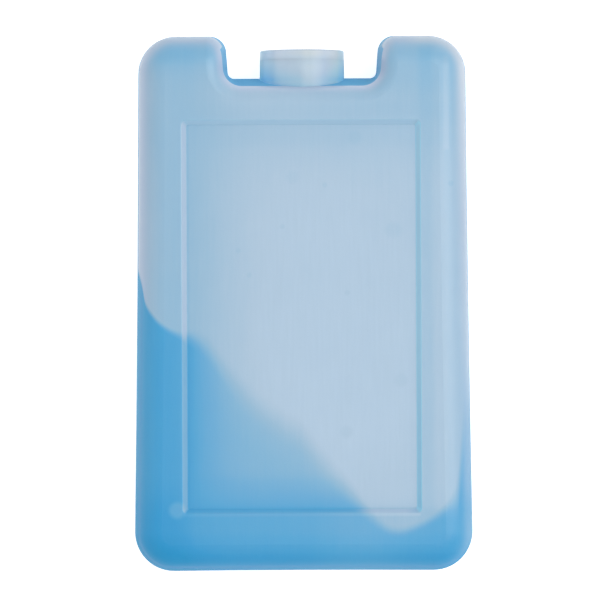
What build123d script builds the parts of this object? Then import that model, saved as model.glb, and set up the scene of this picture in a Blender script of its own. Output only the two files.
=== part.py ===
from build123d import *
import os
from math import radians, tan

# A reusable ice pack. A blow-moulded shell of frosted polyethylene holds a blue coolant,
# with an air bubble under its front wall, and a round plug closes the neck in its notch.
# The pack lies on its back: X is its width, Y its length with the neck at the +Y end,
# and Z its thickness. The origin is at the middle of its footprint, on the surface.

# Outline of the shell at the parting plane, half way through its thickness
LENGTH = 161.6
THICKNESS = 32.0
TOP_WIDTH = 98.7
FOOT_WIDTH = 102.4
TOP_CORNER_RADIUS = 11.3
FOOT_CORNER_RADIUS = 11.8
SIDE_HOLLOW = 0.25
FOOT_HOLLOW = 0.3

# Edges and walls of the shell
WALL = 1.5
OUTER_DRAFT = 3.0
OUTER_ROUNDING = 8.0

# Notch at the top, between its two horns: it widens towards the top and towards each face
NOTCH_FLOOR_WIDTH = 44.6
NOTCH_FLARE = 0.9
NOTCH_DEPTH = 12.8
NOTCH_SIDE_DRAFT = 5.2
NOTCH_FLOOR_DRAFT = 12.8
NOTCH_ROUNDING = 5.0
NOTCH_CORNER_MIDDLE = 2.0
NOTCH_CORNER_FACE = 7.0

# Recessed panel, the same on both faces, and the borders from its floor to the outline
PANEL_SIDE_BORDER = 15.9
PANEL_NOTCH_BORDER = 14.4
PANEL_FOOT_BORDER = 19.3
PANEL_SHIFT = -0.4
PANEL_DEPTH = 1.3
PANEL_SLOPE = 42.0
PANEL_CORNER = 0.8
PANEL_EDGE = 0.5

# Neck in the floor of the notch
NECK_DIAMETER = 25.5
NECK_HEIGHT = 5.3
NECK_TAPER = 0.5
BORE_DIAMETER = 20.5
BORE_REACH = 8.0

# Plug pressed into the neck
PLUG_HEAD = 3.0
PLUG_SPIGOT = 9.0
PLUG_WALL = 1.8
PLUG_CHAMFER = 0.8
PLUG_EDGE = 0.3
PLUG_FIT = 0.1

# Coolant and the air above it
COOLANT_FILM = 0.1
BUBBLE_DEPTH = 4.5
BUBBLE_FLOOR_SHARE = 0.94
SMALL_BUBBLE_WIDTH = 5.2
SMALL_BUBBLE_DEPTH = 1.8
SMALL_BUBBLE_SIDE_BORDER = 12.9
SMALL_BUBBLE_FOOT_BORDER = 18.8

# The big bubble's middle and edge, as shares of half the width there and half the length
BUBBLE_MIDDLE = (0.24, 0.25)
BUBBLE_EDGE = [
    (-1.04, 0.149),
    (-0.926, -0.025),
    (-0.734, -0.116),
    (-0.515, -0.205),
    (-0.257, -0.394),
    (0.059, -0.552),
    (0.354, -0.755),
    (0.549, -0.856),
    (0.756, -0.817),
    (0.916, -0.743),
    (0.957, -0.520),
    (1.032, -0.124),
]

# Places that follow from the sizes above
MIDDLE = THICKNESS / 2
TOP = LENGTH / 2
NOTCH_FLOOR = TOP - NOTCH_DEPTH
NECK_TOP = NOTCH_FLOOR + NECK_HEIGHT
PANEL_WIDTH = (TOP_WIDTH + FOOT_WIDTH) / 2 - 2 * PANEL_SIDE_BORDER
PANEL_HEAD = NOTCH_FLOOR - PANEL_NOTCH_BORDER
PANEL_FOOT = PANEL_FOOT_BORDER - TOP
PANEL_LENGTH = PANEL_HEAD - PANEL_FOOT
PANEL_MIDDLE = (PANEL_HEAD + PANEL_FOOT) / 2
STANDING = (Align.CENTER, Align.CENTER, Align.MIN)


def outline(inset):
    """The block at the parting plane, moved in by inset, before the notch is cut."""
    foot = (FOOT_WIDTH / 2 - inset, inset - TOP)
    head = (TOP_WIDTH / 2 - inset, TOP - inset)
    left_foot = (-foot[0], foot[1])
    left_head = (-head[0], head[1])
    side = SagittaArc(foot, head, SIDE_HOLLOW)
    base = SagittaArc(left_foot, foot, FOOT_HOLLOW)
    face = make_face([base, side, Line(head, left_head), side.mirror(Plane.YZ)])
    face = fillet(face.vertices().group_by(Axis.Y)[0], FOOT_CORNER_RADIUS - inset)
    return fillet(face.vertices().group_by(Axis.Y)[-1], TOP_CORNER_RADIUS - inset)


def notch_outline(inset, height, corner_radius):
    """The notch at a height above the parting plane, moved out by inset, and open at the top."""
    half_floor = NOTCH_FLOOR_WIDTH / 2 + inset + height * tan(radians(NOTCH_SIDE_DRAFT))
    half_mouth = half_floor + 2 * NOTCH_FLARE
    floor = NOTCH_FLOOR - inset - height * tan(radians(NOTCH_FLOOR_DRAFT))
    mouth = floor + 2 * NOTCH_DEPTH
    corners = [(half_floor, floor), (half_mouth, mouth), (-half_mouth, mouth), (-half_floor, floor)]
    face = make_face(Polyline(corners, close=True))
    return fillet(face.vertices().group_by(Axis.Y)[0], corner_radius + inset)


def half_block(inset):
    """The front half of the shell's form: a drafted and rounded block, then its notch."""
    half = extrude(outline(inset), MIDDLE - inset, taper=OUTER_DRAFT)
    half = fillet(half.faces().sort_by(Axis.Z)[-1].edges(), OUTER_ROUNDING - inset)
    middle = notch_outline(inset, 0, NOTCH_CORNER_MIDDLE)
    face = Pos(0, 0, MIDDLE) * notch_outline(inset, MIDDLE, NOTCH_CORNER_FACE)
    half = half - loft([middle, face], ruled=True)
    rim = half.edges().sort_by_distance((0, NOTCH_FLOOR, MIDDLE))[0]
    return fillet(rim, NOTCH_ROUNDING - inset)


def panel_spread(inset, rise):
    """How far the panel's wall stands outside its floor's edge, at a rise above the floor."""
    return inset * tan(radians(PANEL_SLOPE / 2)) + rise / tan(radians(PANEL_SLOPE))


def panel_rectangle(inset, rise):
    """The panel's outline at a rise above its floor, with its corners opening as it widens."""
    spread = panel_spread(inset, rise)
    corner = PANEL_CORNER + rise / 2
    return RectangleRounded(PANEL_WIDTH + 2 * spread, PANEL_LENGTH + 2 * spread, corner)


def panel_recess(inset):
    """The cut that sinks the panel into the front face, open above it."""
    height = PANEL_DEPTH + WALL
    cut = loft([panel_rectangle(inset, 0), Pos(0, 0, height) * panel_rectangle(inset, height)], ruled=True)
    return Pos(PANEL_SHIFT, PANEL_MIDDLE, MIDDLE - inset - PANEL_DEPTH) * cut


def panel_edges(half, inset):
    """The edges round the panel's floor, and those where its walls meet the face."""
    reach = panel_spread(inset, PANEL_DEPTH) + PANEL_EDGE
    half_width = PANEL_WIDTH / 2 + reach
    level = half.edges().filter_by(Plane.XY)
    upper = level.filter_by_position(Axis.Z, MIDDLE - inset - PANEL_DEPTH - PANEL_EDGE, MIDDLE)
    near = upper.filter_by_position(Axis.X, PANEL_SHIFT - half_width, PANEL_SHIFT + half_width)
    return near.filter_by_position(Axis.Y, PANEL_FOOT - reach, PANEL_HEAD + reach)


def block(inset):
    """The whole form of the shell, or of its cavity, standing on the surface."""
    half = half_block(inset) - panel_recess(inset)
    half = fillet(panel_edges(half, inset), PANEL_EDGE)
    return Pos(0, 0, MIDDLE) * (half + mirror(half, about=Plane.XY))


def along_neck(shape, y):
    """Stands a shape made along +Z on the neck's axis instead, with its foot at y."""
    return Pos(0, y, MIDDLE) * Rot(-90, 0, 0) * shape


def neck_radius(y):
    """The neck tapers a little towards the plug, and the plug's head carries the taper on."""
    return NECK_DIAMETER / 2 - (y - NOTCH_FLOOR) * tan(radians(NECK_TAPER))


def tapered(foot, head):
    """A round block on the neck's axis between two places along it."""
    cone = Cone(neck_radius(foot), neck_radius(head), head - foot, align=STANDING)
    return along_neck(cone, foot)


def round_bar(diameter, foot, head):
    """A straight bar on the neck's axis between two places along it."""
    bar = Cylinder(diameter / 2, head - foot, align=STANDING)
    return along_neck(bar, foot)


def make_shell():
    """The moulded shell with its neck, hollow all through."""
    neck_root = NOTCH_FLOOR - WALL - NECK_DIAMETER / 2 * tan(radians(NOTCH_FLOOR_DRAFT))
    outside = block(0) + tapered(neck_root, NECK_TOP)
    bore = round_bar(BORE_DIAMETER, NOTCH_FLOOR - BORE_REACH, NECK_TOP)
    return outside - block(WALL) - bore


def make_plug():
    """The plug: a head as wide as the neck, and a hollow spigot that fills the bore."""
    head = tapered(NECK_TOP, NECK_TOP + PLUG_HEAD)
    head = chamfer(head.edges().group_by(Axis.Y)[-1], PLUG_EDGE)
    outer = BORE_DIAMETER - 2 * PLUG_FIT
    tip = NECK_TOP - PLUG_SPIGOT
    spigot = round_bar(outer, tip, NECK_TOP)
    spigot = chamfer(spigot.edges().group_by(Axis.Y)[0], PLUG_CHAMFER)
    hollow = round_bar(outer - 2 * PLUG_WALL, tip, NECK_TOP)
    return head + spigot - hollow


def in_outline(place):
    """A point from its shares of half the pack's width at that level and of half its length."""
    across, along = place
    width = TOP_WIDTH + (FOOT_WIDTH - TOP_WIDTH) * (1 - along) / 2
    return (across * width / 2, along * TOP)


def bubble_outline(share):
    """The big bubble's outline on the front wall, or drawn in to a share of it."""
    edge = [in_outline(place) for place in BUBBLE_EDGE]
    beyond = LENGTH + FOOT_WIDTH
    outside = Polyline(edge[-1], (beyond, beyond), (-beyond, beyond), edge[0])
    whole = make_face(Spline(*edge) + outside)
    middle = Pos(*in_outline(BUBBLE_MIDDLE))
    return middle * scale(middle.inverse() * whole, share)


def make_coolant():
    """The coolant fills the cavity and the plug's hollow, apart from the air it lies under."""
    inset = WALL + COOLANT_FILM
    hollow = BORE_DIAMETER - 2 * (PLUG_FIT + PLUG_WALL + COOLANT_FILM)
    tip = NECK_TOP - PLUG_SPIGOT
    fill = block(inset) - round_bar(BORE_DIAMETER + 2 * COOLANT_FILM, tip - COOLANT_FILM, NECK_TOP)
    fill = fill + round_bar(hollow, tip - COOLANT_FILM, NECK_TOP - COOLANT_FILM)
    ceiling = THICKNESS - WALL
    level = Pos(0, 0, ceiling - BUBBLE_DEPTH) * bubble_outline(BUBBLE_FLOOR_SHARE)
    bubble = loft([level, Pos(0, 0, ceiling) * bubble_outline(1)], ruled=True)
    flatness = 2 * SMALL_BUBBLE_DEPTH / SMALL_BUBBLE_WIDTH
    small = scale(Sphere(SMALL_BUBBLE_WIDTH / 2), (1, 1, flatness))
    small_x = SMALL_BUBBLE_SIDE_BORDER - FOOT_WIDTH / 2
    small_y = SMALL_BUBBLE_FOOT_BORDER - TOP
    return fill - bubble - Pos(small_x, small_y, ceiling) * small


def main():
    os.makedirs("parts", exist_ok=True)
    export_step(make_shell(), "parts/shell.step")
    export_step(make_plug(), "parts/plug.step")
    export_step(make_coolant(), "parts/coolant.step")


main()
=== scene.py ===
from math import cos, radians, sin

import bpy
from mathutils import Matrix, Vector


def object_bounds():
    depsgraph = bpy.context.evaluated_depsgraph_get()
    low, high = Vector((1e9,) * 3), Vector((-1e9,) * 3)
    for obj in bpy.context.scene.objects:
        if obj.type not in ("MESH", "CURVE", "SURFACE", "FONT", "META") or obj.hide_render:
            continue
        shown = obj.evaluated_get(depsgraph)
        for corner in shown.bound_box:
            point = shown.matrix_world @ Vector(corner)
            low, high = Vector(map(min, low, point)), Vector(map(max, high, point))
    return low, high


# A reusable ice pack: a frosted shell over blue coolant, with a wide air bubble under its front wall.
# Blender's own values are in metres. Below, places and lengths on the part are in millimetres, colours
# are sRGB values of 0 to 255, red levels too, and shares go from 0 to 1.

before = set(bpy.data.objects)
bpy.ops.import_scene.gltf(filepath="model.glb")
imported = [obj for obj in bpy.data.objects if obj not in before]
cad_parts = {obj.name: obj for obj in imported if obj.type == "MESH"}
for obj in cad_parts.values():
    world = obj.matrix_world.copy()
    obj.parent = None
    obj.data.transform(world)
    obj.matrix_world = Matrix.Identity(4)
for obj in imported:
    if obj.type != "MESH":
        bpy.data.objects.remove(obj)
CAD_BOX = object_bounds()
MM = 0.001

# How the picture was taken: from straight above, with a long lens and a very small turn
PICTURE_SIDE = 600
MM_PER_PIXEL = 0.3022
OBJECT_CENTER_PIXEL = (302.85, 303.5)
CAMERA_HEIGHT_MM = 1716.0
PICTURE_TURN_DEGREES = 0.24
SENSOR_MM = 36.0

# One lamp above and to the right, with its distance and sides in metres
LAMP_TILT_DEGREES = 28
LAMP_TOWARDS_HEAD = 0.12
LAMP_DISTANCE = 1.6
LAMP_WIDTH, LAMP_LENGTH = 0.7, 1.4
LAMP_WATTS = 9.0

# How strongly the world and the floor's glow light the object, and how strongly they show
WORLD_LIGHT, WORLD_SHOWN = 0.72, 1.0
GLOW_LIGHT, GLOW_SHOWN = 0.0, 0.7

# The floor's side in metres, its grey, and how far it lies under the part, so that no faces coincide
FLOOR_SIDE = 6.0
FLOOR_GREY = 0.9
FLOOR_DROP = 0.05

# The part's measures, of which the frame gives the first two
TOP, THICKNESS = CAD_BOX[1].y / MM, CAD_BOX[1].z / MM
NOTCH_DEPTH = 12.8
NECK_RADIUS, NECK_HEIGHT, PLUG_HEAD = 12.75, 5.3, 3.0
PANEL_NOTCH_BORDER, PANEL_FOOT_BORDER = 14.4, 19.3
PANEL_LEFT, PANEL_RIGHT = -34.8, 34.0

# Places that follow from them
MIDDLE_HEIGHT = THICKNESS / 2
NOTCH_FLOOR = TOP - NOTCH_DEPTH
PLUG_SEAM = NOTCH_FLOOR + NECK_HEIGHT
PLUG_TOP = PLUG_SEAM + PLUG_HEAD
PANEL_HEAD = NOTCH_FLOOR - PANEL_NOTCH_BORDER
PANEL_FOOT = PANEL_FOOT_BORDER - TOP

# Areas seen from the front: each one's left, right, foot and head, and how far its border fades
NOTCH_AREA = (-27.0, 27.0, NOTCH_FLOOR - 7, NOTCH_FLOOR + 9, 0.8)
PANEL_AREA = (PANEL_LEFT - 1, PANEL_RIGHT + 1, PANEL_FOOT - 1, PANEL_HEAD + 1, 0.5)
AROUND_PANEL = (PANEL_LEFT - 2.7, PANEL_RIGHT + 2.7, PANEL_FOOT - 2.7, PANEL_HEAD + 2.7, 0.3)
# Painted shade lies in the creases at the foot of the panel's left and foot walls, painted light on its
# foot wall, and a painted glint on the right border
INNER_LEFT_LINE = (PANEL_LEFT - 0.1, PANEL_LEFT + 0.8, PANEL_FOOT, PANEL_HEAD, 0.25)
INNER_FOOT_LINE = (PANEL_LEFT, PANEL_RIGHT, PANEL_FOOT - 0.7, PANEL_FOOT + 0.4, 0.3)
OUTER_FOOT_LINE = (PANEL_LEFT - 1, PANEL_RIGHT + 1, PANEL_FOOT - 2.2, PANEL_FOOT - 1.2, 0.4)
RIGHT_GLINT = (42.3, 43.9, 46.0, 74.0, 0.6)

# The front starts at the middle height, and what is painted on it alone fades in over this height
FRONT_FADE = 1.0

# The bubble's edge on the front wall, from left to right, and the lowest and highest y it may have
BUBBLE_EDGE = [
    (-52.0, 18.0), (-48.2, 5.6), (-47.3, 0.6), (-45.2, -3.4), (-42.5, -6.3), (-36.5, -9.6),
    (-32.9, -10.6), (-29.0, -13.3), (-24.2, -19.6), (-15.8, -29.2), (-6.9, -36.1), (-0.6, -40.0),
    (2.1, -43.6), (12.9, -55.8), (22.5, -66.0), (26.8, -68.3), (33.0, -67.4), (43.7, -61.2),
    (45.8, -59.5), (46.9, -51.0), (47.9, -40.0), (52.0, -10.0),
]
EDGE_FOOT, EDGE_HEAD = -90.0, 90.0

# How far the edge fades to either side, from left to right, as a share of its widest fade
WIDEST_FADE = 14.0
EDGE_FADE = [
    (-52, 0.1), (-38, 0.12), (-34, 0.22), (-27, 0.35), (-18, 0.45), (5, 0.45), (14, 0.36),
    (20, 0.24), (26, 0.16), (40, 0.16), (45, 0.4), (47, 0.75), (52, 0.9),
]

# The liquid's level behind the notch walls and behind the outer walls, above the surface it lies on
NOTCH_LEVEL, SIDE_LEVEL, LEVEL_FADE = 27.75, 23.0, 0.3

# Between these distances from the middle the notch's floor ends, and its side walls, which show the
# wetted strip more weakly, begin
NOTCH_CORNER = (21.5, 23.5)
NOTCH_SIDE_SHARE = 0.4

# Red level of the wall over the bubble: its lowest, its rise in the middle, and where it rises
DRY_RED, DRY_RISE = 144, 31
DRY_ACROSS = [
    (-52, 0.5), (-46, 0.42), (-43, 0.2), (-40, 0.04), (-38, 0.0), (-30, 0.22), (-20, 0.66),
    (-8, 0.92), (18, 1.0), (32, 0.95), (35.5, 0.6), (37.5, 0.5), (40.5, 0.8), (44, 0.65), (52, 0.5),
]
DRY_ALONG = [
    (-90, 0.3), (-66, 0.32), (-63, 0.38), (-60, 0.85), (-54, 1), (20, 1), (30, 0.98), (37, 0.9),
    (46, 0.7), (53, 0.5), (58, 0.56), (63, 0.78), (66, 0.8), (90, 0.8),
]

# How far it falls on the left horn and on the right one, and where, and where one turns into the other
LEFT_HORN_FALL, RIGHT_HORN_FALL = 24, 31
LEFT_HORN = [(60, 0), (66.3, 0.13), (70.6, 0.45), (74.5, 0.93), (82, 1)]
RIGHT_HORN = [(52, 0.08), (60, 0.4), (66.3, 0.7), (70.6, 0.8), (74.5, 0.95), (82, 1)]
LEFT_TO_RIGHT_HORN = (-15, 30)

# Red level of the panel over liquid: its lowest, its rise, where it rises, and a paler band at the edge
WET_RED, WET_RISE = 62, 63
WET_ACROSS = [
    (-52, 0.08), (-34, 0.08), (-32.6, 0.2), (-26.5, 0.643), (-19, 0.893), (-10, 1), (52, 1),
]
WET_ALONG = [
    (-90, 0.1), (-62.4, 0.2), (-60.6, 0.35), (-59.4, 0.46), (-56.4, 0.657), (-53.3, 0.79), (-47, 1),
    (90, 1),
]
EDGE_BAND, EDGE_BAND_RISE = (1, 16), 10

# Red level of the border over liquid: across, and how far it falls towards the foot and rises above it
BORDER_RED = 120
BORDER_ACROSS = [
    (-52, 0.45), (-46, 0.43), (-42, 0.38), (-36, 0.46), (-32, 0.58), (-20, 0.67), (0, 0.71),
    (17, 0.82), (35, 0.72), (45, 0.68), (52, 0.8),
]
FOOT_ALONG = [(-90, 1), (-77.5, 0.95), (-74.5, 0.6), (-70, 0.26), (-65.4, 0), (90, 0)]
FOOT_FALL_LEFT, FOOT_FALL_RIGHT, FOOT_LEFT_TO_RIGHT = 45, 34, (-44, -24)
BORDER_LIFT, BORDER_LIFT_ALONG = 14, (-66, -50)

# Painted light and shade as changes of the red level: paler on the panel's walls that face the lamp,
# over air and how much more over liquid, a painted shade line in its creases, a painted light line on
# its foot wall, and a painted glint on the right border
LIT_WALL, LIT_WALL_WET_MORE = 26, 30
PAINTED_CREASE_SHADE, PAINTED_FOOT_LIGHT, GLINT = -7, 12, 9

# The panel's walls get painted light or painted shade by how far they face right, towards the lamp, or
# the head, which counts for less. The painted colour of the shaded walls covers a share of them.
LIT_FACING, SHADED_FACING = (0.1, 0.6), (-0.6, -0.1)
LIT_HEAD_SHARE, SHADED_HEAD_SHARE = 0.35, 0.5
SHADED_SHARE = 0.6

# Marks on the wall: x, y, radius, and the change of the red level. The first is a small trapped bubble,
# the others are faint spots. A mark fades between two shares of its radius.
MARKS = [
    (-37.9, -61.8, 2.9, 34.0),
    (13.0, -38.5, 2.2, -5.0), (27.2, 21.9, 2.8, -5.0), (29.3, -23.1, 2.4, -4.0),
    (-3.0, 37.9, 2.2, -4.0), (15.7, 49.7, 2.4, -4.0), (6.7, 35.5, 0.9, -7.0), (-6.0, 23.1, 0.9, -7.0),
    (-19.3, 15.9, 0.9, -6.0), (-16.0, 8.6, 0.9, -6.0), (13.3, 3.2, 0.9, -6.0), (44.5, 35.8, 1.0, -7.0),
]
MARK_CORE, MARK_REACH = 0.5, 1.15

# Soft noise on the wall: scale, detail, and the change of the red level, with the streaks drawn out
CLOUD_SCALE, CLOUD_DETAIL, CLOUD_RED = 0.06, 3.0, 6
STREAK_SCALE, STREAK_DETAIL, STREAK_RED = 1.1, 2.0, 7
STREAK_STRETCH = (1.0, 0.06, 0.3)

# Colour of the frosted wall by its red level, which tells how deep the liquid lies behind it, and which
# the painted light and shade on the panel's walls also change
WALL_COLOURS = [
    (20, (0, 148, 203)), (48, (38, 154, 209)), (77, (75, 165, 212)), (102, (100, 171, 213)),
    (128, (129, 181, 213)), (148, (149, 187, 213)), (171, (173, 198, 219)), (182, (183, 206, 227)),
]
# Painted colour, paler and bluer, for the panel's walls that turn away from the lamp, which softens
# their real shade
SHADED_WALL = (146, 228, 255)
NOTCH_STRIP = (100, 175, 220)

# The rim over air, partly the milky wall seen at a slant and partly painted sheen: on the left and at
# the head, on the right from foot to head, and its grey edge, which is painted shade
LEFT_RIM, HEAD_RIM, EDGE_SHADE_GREY = (176, 196, 221), (163, 186, 211), (147, 167, 191)
RIGHT_RIM_COLOURS = [
    (-80, (126, 176, 212)), (-73, (122, 174, 211)), (-62, (108, 170, 210)), (-53, (134, 178, 213)),
    (-35, (146, 182, 212)), (-8, (166, 191, 214)), (25, (167, 188, 211)), (62, (182, 199, 217)),
    (70, (190, 204, 219)), (77, (176, 194, 212)),
]
HEAD_RIM_ALONG, RIGHT_RIM_ACROSS = (73, 79), (30, 36)

# The rim over liquid: a painted highlight line of its own colour, and a share of the right rim's
# colours up there
WET_RIM_HIGHLIGHT = (66, 156, 209)
WET_LINE_SHARE, WET_RIGHT_SHARE = 0.6, 0.8
WET_RIGHT_ACROSS, WET_RIGHT_ALONG, WET_RIGHT_HEIGHT = (36, 44), (-77, -68), (21, 25)

# How far walls face up where each change of the look ends and begins: 0 is upright and 1 lies flat
RIM_FACING = (0.5, 0.95)
EDGE_FACING, EDGE_SHARE = (0.08, 0.3), 0.7
WET_LINE_FACING, WET_LINE_WIDTH = 0.53, (0.03, 0.1)
NOTCH_STRIP_FACING = (0.45, 0.75)
WET_SIDE_FACING, WET_SIDE_SHARE = (0.2, 0.7), 0.45

# The neck and the plug: their highest red level, its share along them, and how far it falls towards
# the flanks, as the product of a share along and a share across
NECK_RED, FLANK_FALL = 205, 85
NECK_ALONG = [
    (64, 0.8), (65.6, 0.81), (66.4, 0.85), (67.2, 0.865), (68.5, 0.9), (71, 0.94), (73, 0.925),
    (74, 0.96), (75, 1.0), (77, 1.0),
]
FALL_ALONG = [
    (64, 0.7), (66.4, 0.72), (67.4, 0.9), (68.5, 0.78), (71, 0.62), (73, 0.43), (75, 0.5), (76, 0.6),
    (77, 0.6),
]
# The fall is least along a line just right of the axis, which is partly a painted highlight
FALL_ACROSS = [
    (-14, 1), (-12.3, 0.9), (-9.3, 0.7), (-6.9, 0.42), (-3.9, 0.3), (-0.9, 0.2), (2.4, 0.0),
    (5.1, 0.1), (8.1, 0.35), (10.5, 0.65), (11.7, 0.88), (14, 1),
]
NECK_COLOURS = [
    (85, (85, 160, 206)), (100, (100, 169, 210)), (127, (127, 180, 214)), (147, (147, 188, 213)),
    (163, (163, 194, 214)), (178, (178, 197, 214)), (190, (190, 205, 219)), (205, (205, 210, 215)),
]

# Factors on the neck's red, green and blue from left to right, which make up for its round shading.
# A ramp's colours end at 1, so they pass through it as shares of the largest factor.
LARGEST_GAIN = 2.5
NECK_GAINS = [
    (-14.0, (2.4, 2.0, 1.9)), (-11.6, (2.05, 1.7, 1.55)), (-8.7, (1.4, 1.3, 1.25)),
    (-4.8, (1.1, 1.1, 1.1)), (2.5, (0.83, 0.91, 0.93)), (6.7, (1.0, 1.02, 1.05)),
    (10.6, (1.5, 1.29, 1.1)), (14.0, (1.9, 1.6, 1.4)),
]

# Where the neck starts, how thin its border is, and the lines at the plug's seam and end
NECK_START, NECK_BORDER = (63.4, 63.8), 0.25
PLUG_LINE_GREY = (150, 170, 192)
SEAM_LINE, SEAM_SHARE = (PLUG_SEAM + 0.05, PLUG_SEAM + 0.3), 0.12
END_LINE, END_SHARE = (PLUG_TOP - 0.6, PLUG_TOP - 0.1), 0.45

# The frosted surface: its grain, the roughness that goes with it, and the roughness of dull places
GRAIN_SCALE, GRAIN_DETAIL, GRAIN_ROUGHNESS = 1.6, 4.0, 0.6
GRAIN_HEIGHT = 0.2
WALL_GRAIN, PLUG_GRAIN = 0.12, 0.1
ROUGHNESS_LOW, ROUGHNESS_HIGH, DULL_ROUGHNESS = 0.28, 0.4, 0.95

# How much light enters the wall and the plug, and how deep
WALL_SUBSURFACE, WALL_LIGHT_DEPTH = 0.35, 4.0
PLUG_SUBSURFACE, PLUG_LIGHT_DEPTH = 0.3, 3.0
SUBSURFACE_SCALE = 0.5

# The coolant's colour, by soft noise, and its gloss
COOLANT_COLOURS = [(0.3, (60, 152, 205)), (0.7, (72, 162, 210))]
COOLANT_SCALE, COOLANT_DETAIL, COOLANT_ROUGHNESS = 0.05, 2.0, 0.12


def linear(colour):
    """An sRGB colour of 0 to 255 as the linear RGBA that Blender's sockets take."""
    channels = [value / 255 for value in colour]
    return [c / 12.92 if c <= 0.04045 else ((c + 0.055) / 1.055) ** 2.4 for c in channels] + [1.0]


def gain_shares(gains):
    """Factors on red, green and blue as shares of the largest one, in a ramp's form of a colour."""
    return [gain / LARGEST_GAIN for gain in gains] + [1.0]


class Graph:
    """A material's node tree, with short calls for the nodes used here."""

    def __init__(self, name):
        """Starts with an empty tree in a new material."""
        self.material = bpy.data.materials.new(name)
        self.material.use_nodes = True
        self.tree = self.material.node_tree
        self.tree.nodes.clear()

    def put(self, socket, value):
        """Links a socket to another one, or sets it to a constant."""
        if isinstance(value, bpy.types.NodeSocket):
            self.tree.links.new(value, socket)
        else:
            socket.default_value = value

    def node(self, kind, inputs=None, **settings):
        """A new shader node with its settings, and its inputs by name or number."""
        made = self.tree.nodes.new("ShaderNode" + kind)
        for name, value in settings.items():
            setattr(made, name, value)
        for name, value in (inputs or {}).items():
            self.put(made.inputs[name], value)
        return made

    def finished(self, shader):
        """The material, with this shader on its surface."""
        self.node("OutputMaterial", {"Surface": shader.outputs[0]})
        return self.material

    def math(self, operation, *values):
        """A number worked out from one, two or three numbers."""
        made = self.node("Math", operation=operation)
        for socket, value in zip(made.inputs, values):
            self.put(socket, value)
        return made.outputs[0]

    def vector(self, operation, first, second):
        """A vector worked out from two vectors, or from a vector and the number that scales it."""
        second_socket = 3 if operation == "SCALE" else 1
        inputs = {0: first, second_socket: second}
        return self.node("VectorMath", inputs, operation=operation).outputs[0]

    def times(self, first, *others):
        """The product of two or more numbers."""
        for other in others:
            first = self.math("MULTIPLY", first, other)
        return first

    def plus(self, first, *others):
        """The sum of two or more numbers."""
        for other in others:
            first = self.math("ADD", first, other)
        return first

    def smooth(self, value, low, high, start=0.0, end=1.0):
        """Turns smoothly from start to end while value goes from low to high."""
        inputs = {"Value": value, "From Min": low, "From Max": high, "To Min": start, "To Max": end}
        return self.node("MapRange", inputs, interpolation_type="SMOOTHSTEP").outputs[0]

    def blend(self, share, start, end):
        """One value turning into another as share goes from 0 to 1."""
        return self.node("Mix", {0: share, 2: start, 3: end}).outputs[0]

    def mixed(self, share, start, end):
        """One colour turning into another as share goes from 0 to 1."""
        return self.node("Mix", {0: share, 6: start, 7: end}, data_type="RGBA").outputs[2]

    def noise(self, place, scale, detail, roughness=0.5):
        """Soft noise between 0 and 1."""
        inputs = {"Vector": place, "Scale": scale, "Detail": detail, "Roughness": roughness}
        return self.node("TexNoise", inputs).outputs["Fac"]

    def around_zero(self, noise, width):
        """Noise between 0 and 1 as a change to either side."""
        return self.math("MULTIPLY_ADD", noise, width, -width / 2)

    def progress(self, value, low, high):
        """How far value is on its way from low to high, as a share."""
        return self.node("MapRange", {"Value": value, "From Min": low, "From Max": high}).outputs[0]

    def curve(self, value, points):
        """A smooth curve through points of (value, share), from the first point to the last."""
        low, high = points[0][0], points[-1][0]
        made = self.node("FloatCurve", {"Value": self.progress(value, low, high)})
        line = made.mapping.curves[0]
        placed = [((place - low) / (high - low), share) for place, share in points]
        line.points[0].location = placed[0]
        line.points[1].location = placed[-1]
        for place, share in placed[1:-1]:
            line.points.new(place, share)
        made.mapping.update()
        return made.outputs[0]

    def ramp(self, value, stops, turned=linear):
        """A colour ramp through stops of (value, colour), each colour turned into linear RGBA."""
        low, high = stops[0][0], stops[-1][0]
        made = self.node("ValToRGB", {"Fac": self.progress(value, low, high)})
        elements = made.color_ramp.elements
        elements[0].color, elements[1].color = turned(stops[0][1]), turned(stops[-1][1])
        for place, colour in stops[1:-1]:
            elements.new((place - low) / (high - low)).color = turned(colour)
        return made.outputs[0]


class SurfaceGraph(Graph):
    """A node tree that also has the place on the part, and how far its surface faces each way."""

    def __init__(self, name):
        """Starts the tree with the place in millimetres and the three parts of the normal."""
        super().__init__(name)
        coordinates = self.node("TexCoord").outputs
        self.place = self.vector("SCALE", coordinates["Object"], 1 / MM)
        self.x, self.y, self.z = self.node("SeparateXYZ", {0: self.place}).outputs
        facing = self.node("SeparateXYZ", {0: coordinates["Normal"]}).outputs
        self.facing_right, self.facing_head, self.facing_up = facing

    def inside(self, area):
        """1 inside an area seen from the front and 0 outside, with soft borders."""
        left, right, foot, head, fade = area
        return self.times(
            self.smooth(self.x, left - fade, left + fade),
            self.smooth(self.x, right - fade, right + fade, 1.0, 0.0),
            self.smooth(self.y, foot - fade, foot + fade),
            self.smooth(self.y, head - fade, head + fade, 1.0, 0.0),
        )


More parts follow.
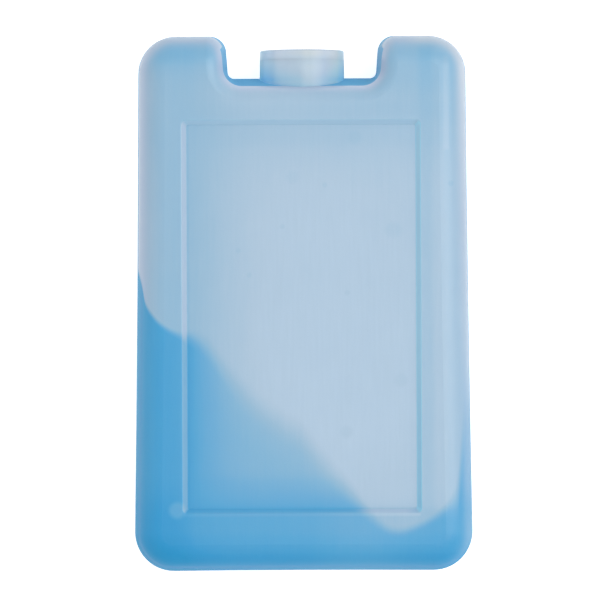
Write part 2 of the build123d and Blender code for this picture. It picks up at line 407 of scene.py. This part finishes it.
def liquid_masks(graph):
    """The wetted share of the wall, the notch's part of it, and the distance below the bubble's edge.

    The wall is wetted from behind beyond the bubble's edge, and also below the liquid's level.
    """
    height = EDGE_HEAD - EDGE_FOOT
    edge_share = graph.curve(graph.x, [(x, (y - EDGE_FOOT) / height) for x, y in BUBBLE_EDGE])
    edge = graph.math("MULTIPLY_ADD", edge_share, height, EDGE_FOOT)
    below_edge = graph.math("SUBTRACT", edge, graph.y)
    fade = graph.times(graph.curve(graph.x, EDGE_FADE), WIDEST_FADE)
    beyond_edge = graph.smooth(graph.math("DIVIDE", below_edge, fade), -1, 1)
    notch = graph.inside(NOTCH_AREA)
    level = graph.math("MULTIPLY_ADD", notch, NOTCH_LEVEL - SIDE_LEVEL, SIDE_LEVEL)
    above_level = graph.math("SUBTRACT", graph.z, level)
    below_level = graph.smooth(above_level, -LEVEL_FADE, LEVEL_FADE, 1.0, 0.0)
    wall_share = graph.smooth(graph.math("ABSOLUTE", graph.x), *NOTCH_CORNER, 1.0, NOTCH_SIDE_SHARE)
    wet = graph.math("MAXIMUM", beyond_edge, below_level)
    return wet, graph.times(below_level, notch, wall_share), below_edge


def dry_red(graph):
    """Red level of the wall over the bubble: palest in the middle, bluer on the horns."""
    middle = graph.times(graph.curve(graph.x, DRY_ACROSS), graph.curve(graph.y, DRY_ALONG))
    red = graph.math("MULTIPLY_ADD", middle, DRY_RISE, DRY_RED)
    left_fall = graph.times(graph.curve(graph.y, LEFT_HORN), LEFT_HORN_FALL)
    right_fall = graph.times(graph.curve(graph.y, RIGHT_HORN), RIGHT_HORN_FALL)
    fall = graph.blend(graph.smooth(graph.x, *LEFT_TO_RIGHT_HORN), left_fall, right_fall)
    return graph.math("SUBTRACT", red, fall)


def wet_red(graph, below_edge):
    """Red level of the wall over liquid: palest in the panel, deepest at the foot and on the left."""
    across = graph.curve(graph.x, WET_ACROSS)
    rise = graph.times(across, graph.curve(graph.y, WET_ALONG))
    band = graph.times(graph.smooth(below_edge, *EDGE_BAND, EDGE_BAND_RISE, 0), across)
    panel = graph.plus(graph.math("MULTIPLY_ADD", rise, WET_RISE, WET_RED), band)
    border = graph.times(graph.curve(graph.x, BORDER_ACROSS), BORDER_RED)
    deepest = graph.smooth(graph.x, *FOOT_LEFT_TO_RIGHT, FOOT_FALL_LEFT, FOOT_FALL_RIGHT)
    fall = graph.times(graph.curve(graph.y, FOOT_ALONG), deepest)
    lift = graph.times(graph.smooth(graph.y, *BORDER_LIFT_ALONG), BORDER_LIFT)
    border = graph.plus(graph.math("SUBTRACT", border, fall), lift)
    return graph.blend(graph.inside(PANEL_AREA), border, panel)


def painted_panel_light(graph, wet):
    """Painted light and shade on and beside the panel's walls as a change of the red level, and the
    share of those walls that gets the shaded walls' painted colour.
    """
    head_side = graph.times(graph.facing_head, LIT_HEAD_SHARE)
    lit_side = graph.math("MAXIMUM", graph.facing_right, head_side)
    lit_wall = graph.math("MULTIPLY_ADD", wet, LIT_WALL_WET_MORE, LIT_WALL)
    lit = graph.times(graph.smooth(lit_side, *LIT_FACING), lit_wall)
    inner = graph.math("MAXIMUM", graph.inside(INNER_LEFT_LINE), graph.inside(INNER_FOOT_LINE))
    outer = graph.inside(OUTER_FOOT_LINE)
    lines = graph.plus(graph.times(inner, PAINTED_CREASE_SHADE), graph.times(outer, PAINTED_FOOT_LIGHT))
    near_walls = graph.inside(AROUND_PANEL)
    glint = graph.times(graph.inside(RIGHT_GLINT), GLINT)
    change = graph.plus(graph.times(graph.plus(lit, lines), near_walls), glint)
    head_side = graph.times(graph.facing_head, SHADED_HEAD_SHARE)
    shaded_side = graph.math("MINIMUM", graph.facing_right, head_side)
    shaded = graph.smooth(shaded_side, *SHADED_FACING, 1.0, 0.0)
    return change, graph.times(shaded, near_walls)


def marks_red(graph):
    """Change of the red level by marks on the front, by slow clouds and by fine streaks."""
    flat_place = graph.node("CombineXYZ", {0: graph.x, 1: graph.y}).outputs[0]
    marks = []
    for x, y, radius, change in MARKS:
        away = graph.node("VectorMath", {0: flat_place, 1: (x, y, 0)}, operation="DISTANCE")
        distance = away.outputs["Value"]
        marks.append(graph.smooth(distance, radius * MARK_CORE, radius * MARK_REACH, change, 0.0))
    on_front = graph.smooth(graph.z, MIDDLE_HEIGHT, MIDDLE_HEIGHT + FRONT_FADE)
    cloud = graph.noise(graph.place, CLOUD_SCALE, CLOUD_DETAIL)
    drawn_out = graph.vector("MULTIPLY", graph.place, STREAK_STRETCH)
    streaks = graph.noise(drawn_out, STREAK_SCALE, STREAK_DETAIL)
    return graph.plus(
        graph.around_zero(cloud, CLOUD_RED),
        graph.around_zero(streaks, STREAK_RED),
        graph.times(graph.plus(*marks), on_front),
    )


def rimmed(graph, wet, colour):
    """The wall's colour with its rim where it turns away: pale over air, partly the milky wall seen at
    a slant and partly painted sheen, with a grey edge of painted shade, and a fine painted highlight
    line over liquid.
    """
    rim = graph.smooth(graph.facing_up, *RIM_FACING, 1.0, 0.0)
    right = graph.ramp(graph.y, RIGHT_RIM_COLOURS)
    left = graph.mixed(graph.smooth(graph.y, *HEAD_RIM_ALONG), linear(LEFT_RIM), linear(HEAD_RIM))
    dry = graph.mixed(rim, colour, graph.mixed(graph.smooth(graph.x, *RIGHT_RIM_ACROSS), left, right))
    edge = graph.smooth(graph.facing_up, *EDGE_FACING, EDGE_SHARE, 0.0)
    dry = graph.mixed(edge, dry, linear(EDGE_SHADE_GREY))
    from_line = graph.math("ABSOLUTE", graph.math("SUBTRACT", graph.facing_up, WET_LINE_FACING))
    line = graph.smooth(from_line, *WET_LINE_WIDTH, WET_LINE_SHARE, 0.0)
    lined = graph.mixed(line, colour, linear(WET_RIM_HIGHLIGHT))
    right_share = graph.times(
        graph.smooth(graph.x, *WET_RIGHT_ACROSS),
        graph.smooth(graph.z, *WET_RIGHT_HEIGHT),
        graph.smooth(graph.y, *WET_RIGHT_ALONG),
        rim,
        WET_RIGHT_SHARE,
    )
    return graph.mixed(wet, dry, graph.mixed(right_share, lined, right))


def neck_colour(graph):
    """Milky colour of the neck and plug: cream at the end, bluer towards the notch and the flanks, and
    palest along a partly painted highlight just right of the axis.
    """
    red = graph.times(graph.curve(graph.y, NECK_ALONG), NECK_RED)
    fall = graph.times(graph.curve(graph.y, FALL_ALONG), graph.curve(graph.x, FALL_ACROSS))
    red = graph.math("MULTIPLY_ADD", fall, -FLANK_FALL, red)
    gains = graph.ramp(graph.x, NECK_GAINS, gain_shares)
    milky = graph.vector("MULTIPLY", graph.ramp(red, NECK_COLOURS), gains)
    bright = graph.vector("SCALE", milky, LARGEST_GAIN)
    return graph.vector("MINIMUM", bright, (1, 1, 1))


def necked(graph, colour):
    """The wall's colour, with the neck's own where the wall is the neck."""
    height = graph.math("SUBTRACT", graph.z, MIDDLE_HEIGHT)
    square = graph.plus(graph.times(graph.x, graph.x), graph.times(height, height))
    from_axis = graph.math("SQRT", square)
    close = graph.smooth(from_axis, NECK_RADIUS, NECK_RADIUS + NECK_BORDER, 1.0, 0.0)
    on_neck = graph.times(close, graph.smooth(graph.y, *NECK_START))
    return graph.mixed(on_neck, colour, neck_colour(graph))


def grainy(graph, strength):
    """Fine grain of the frosted surface, as a normal and a roughness."""
    grain = graph.noise(graph.place, GRAIN_SCALE, GRAIN_DETAIL, GRAIN_ROUGHNESS)
    inputs = {"Height": grain, "Strength": strength, "Distance": GRAIN_HEIGHT * MM}
    bump = graph.node("Bump", inputs).outputs[0]
    inputs = {"Value": grain, "To Min": ROUGHNESS_LOW, "To Max": ROUGHNESS_HIGH}
    return bump, graph.node("MapRange", inputs).outputs[0]


def frosted(graph, colour, bump, roughness, subsurface, depth):
    """The finished material of frosted polyethylene, which light enters to some depth."""
    return graph.finished(graph.node("BsdfPrincipled", {
        "Base Color": colour,
        "Roughness": roughness,
        "Normal": bump,
        "Subsurface Weight": subsurface,
        "Subsurface Radius": (depth * MM, depth * MM, depth * MM),
        "Subsurface Scale": SUBSURFACE_SCALE,
    }))


def wall_material():
    """Frosted wall: its colour tells how deep the liquid lies behind it, with painted light and shade
    on the panel's walls and rims.
    """
    graph = SurfaceGraph("frosted_wall")
    wet, notch_wet, below_edge = liquid_masks(graph)
    # Painted light and shade of the panel's walls, and the share of them that gets the shaded walls'
    # painted colour
    relief, shaded = painted_panel_light(graph, wet)
    red = graph.blend(wet, dry_red(graph), wet_red(graph, below_edge))
    red = graph.plus(red, relief, marks_red(graph))
    shaded = graph.times(shaded, SHADED_SHARE)
    colour = graph.mixed(shaded, graph.ramp(red, WALL_COLOURS), linear(SHADED_WALL))
    colour = rimmed(graph, wet, colour)
    strip = graph.times(notch_wet, graph.smooth(graph.facing_up, *NOTCH_STRIP_FACING, 1.0, 0.0))
    colour = graph.mixed(strip, colour, linear(NOTCH_STRIP))
    wet_side = graph.times(wet, graph.smooth(graph.facing_up, *WET_SIDE_FACING, WET_SIDE_SHARE, 0.0))
    bump, roughness = grainy(graph, WALL_GRAIN)
    roughness = graph.blend(graph.math("MAXIMUM", strip, wet_side), roughness, DULL_ROUGHNESS)
    return frosted(graph, necked(graph, colour), bump, roughness, WALL_SUBSURFACE, WALL_LIGHT_DEPTH)


def plug_material():
    """Milky plug, with a fine line at its seam and a grey one at its end."""
    graph = SurfaceGraph("frosted_plug")
    seam = graph.smooth(graph.y, *SEAM_LINE, SEAM_SHARE, 0.0)
    end = graph.smooth(graph.y, *END_LINE, 0.0, END_SHARE)
    lines = graph.math("MAXIMUM", seam, end)
    colour = graph.mixed(lines, neck_colour(graph), linear(PLUG_LINE_GREY))
    bump, roughness = grainy(graph, PLUG_GRAIN)
    return frosted(graph, colour, bump, roughness, PLUG_SUBSURFACE, PLUG_LIGHT_DEPTH)


def coolant_material():
    """Blue coolant, which no view of the whole pack shows, because the frosted wall hides it."""
    graph = SurfaceGraph("blue_coolant")
    cloud = graph.noise(graph.place, COOLANT_SCALE, COOLANT_DETAIL)
    colour = graph.ramp(cloud, COOLANT_COLOURS)
    inputs = {"Base Color": colour, "Roughness": COOLANT_ROUGHNESS}
    return graph.finished(graph.node("BsdfPrincipled", inputs))


def use_material(node, material):
    """Gives a carried-over piece its finish."""
    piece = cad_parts[node]
    piece.data.materials.clear()
    piece.data.materials.append(material)


def seen_strength(tree, strength_unseen, strength_seen):
    """A strength for what the camera, gloss and glass see, and another for what only lights."""
    path = tree.nodes.new("ShaderNodeLightPath")
    seen = path.outputs["Is Camera Ray"]
    for name in ("Is Glossy Ray", "Is Transmission Ray"):
        either = tree.nodes.new("ShaderNodeMath")
        either.operation = "MAXIMUM"
        tree.links.new(seen, either.inputs[0])
        tree.links.new(path.outputs[name], either.inputs[1])
        seen = either.outputs[0]
    strength = tree.nodes.new("ShaderNodeMapRange")
    tree.links.new(seen, strength.inputs["Value"])
    strength.inputs["To Min"].default_value = strength_unseen
    strength.inputs["To Max"].default_value = strength_seen
    return strength.outputs[0]


def make_world():
    """A white world that shows brighter than it lights."""
    world = bpy.data.worlds.new("studio")
    bpy.context.scene.world = world
    world.use_nodes = True
    background = world.node_tree.nodes["Background"]
    background.inputs["Color"].default_value = (1.0, 1.0, 1.0, 1.0)
    strength = seen_strength(world.node_tree, WORLD_LIGHT, WORLD_SHOWN)
    world.node_tree.links.new(strength, background.inputs["Strength"])


def make_floor():
    """White where the camera looks past the object, and it still takes the object's shadow."""
    bpy.ops.mesh.primitive_plane_add(size=FLOOR_SIDE, location=(0, 0, -FLOOR_DROP * MM))
    floor = bpy.context.object
    floor.name = "floor"
    graph = Graph("white_floor")
    diffuse = graph.node("BsdfDiffuse", {"Color": (FLOOR_GREY, FLOOR_GREY, FLOOR_GREY, 1.0)})
    glow = graph.node("Emission", {"Strength": seen_strength(graph.tree, GLOW_LIGHT, GLOW_SHOWN)})
    shader = graph.node("AddShader", {0: diffuse.outputs[0], 1: glow.outputs[0]})
    floor.data.materials.append(graph.finished(shader))


def make_lamp():
    """One broad soft lamp that looks at the object."""
    data = bpy.data.lights.new("soft_lamp", "AREA")
    data.shape = "RECTANGLE"
    data.size, data.size_y = LAMP_WIDTH, LAMP_LENGTH
    data.energy = LAMP_WATTS
    lamp = bpy.data.objects.new("soft_lamp", data)
    bpy.context.scene.collection.objects.link(lamp)
    tilt = radians(LAMP_TILT_DEGREES)
    lamp.location = Vector((sin(tilt), LAMP_TOWARDS_HEAD, cos(tilt))) * LAMP_DISTANCE
    lamp.rotation_euler = (-lamp.location).to_track_quat("-Z", "Y").to_euler()


def make_camera():
    """The photograph's camera, with its lens set so that a millimetre has the photograph's size."""
    data = bpy.data.cameras.new("camera")
    distance = CAMERA_HEIGHT_MM - MIDDLE_HEIGHT
    data.sensor_width = SENSOR_MM
    data.lens = SENSOR_MM * distance / (PICTURE_SIDE * MM_PER_PIXEL)
    camera = bpy.data.objects.new("camera", data)
    bpy.context.scene.collection.objects.link(camera)
    right, down = [(pixel - PICTURE_SIDE / 2) * MM_PER_PIXEL * MM for pixel in OBJECT_CENTER_PIXEL]
    camera.location = (-right, down, CAMERA_HEIGHT_MM * MM)
    camera.rotation_euler = (0, 0, radians(-PICTURE_TURN_DEGREES))
    bpy.context.scene.camera = camera


def main():
    """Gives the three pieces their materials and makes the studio."""
    bpy.context.scene.view_settings.view_transform = "Standard"
    use_material("shell", wall_material())
    use_material("plug", plug_material())
    use_material("coolant", coolant_material())
    make_world()
    make_floor()
    make_lamp()
    make_camera()


main()
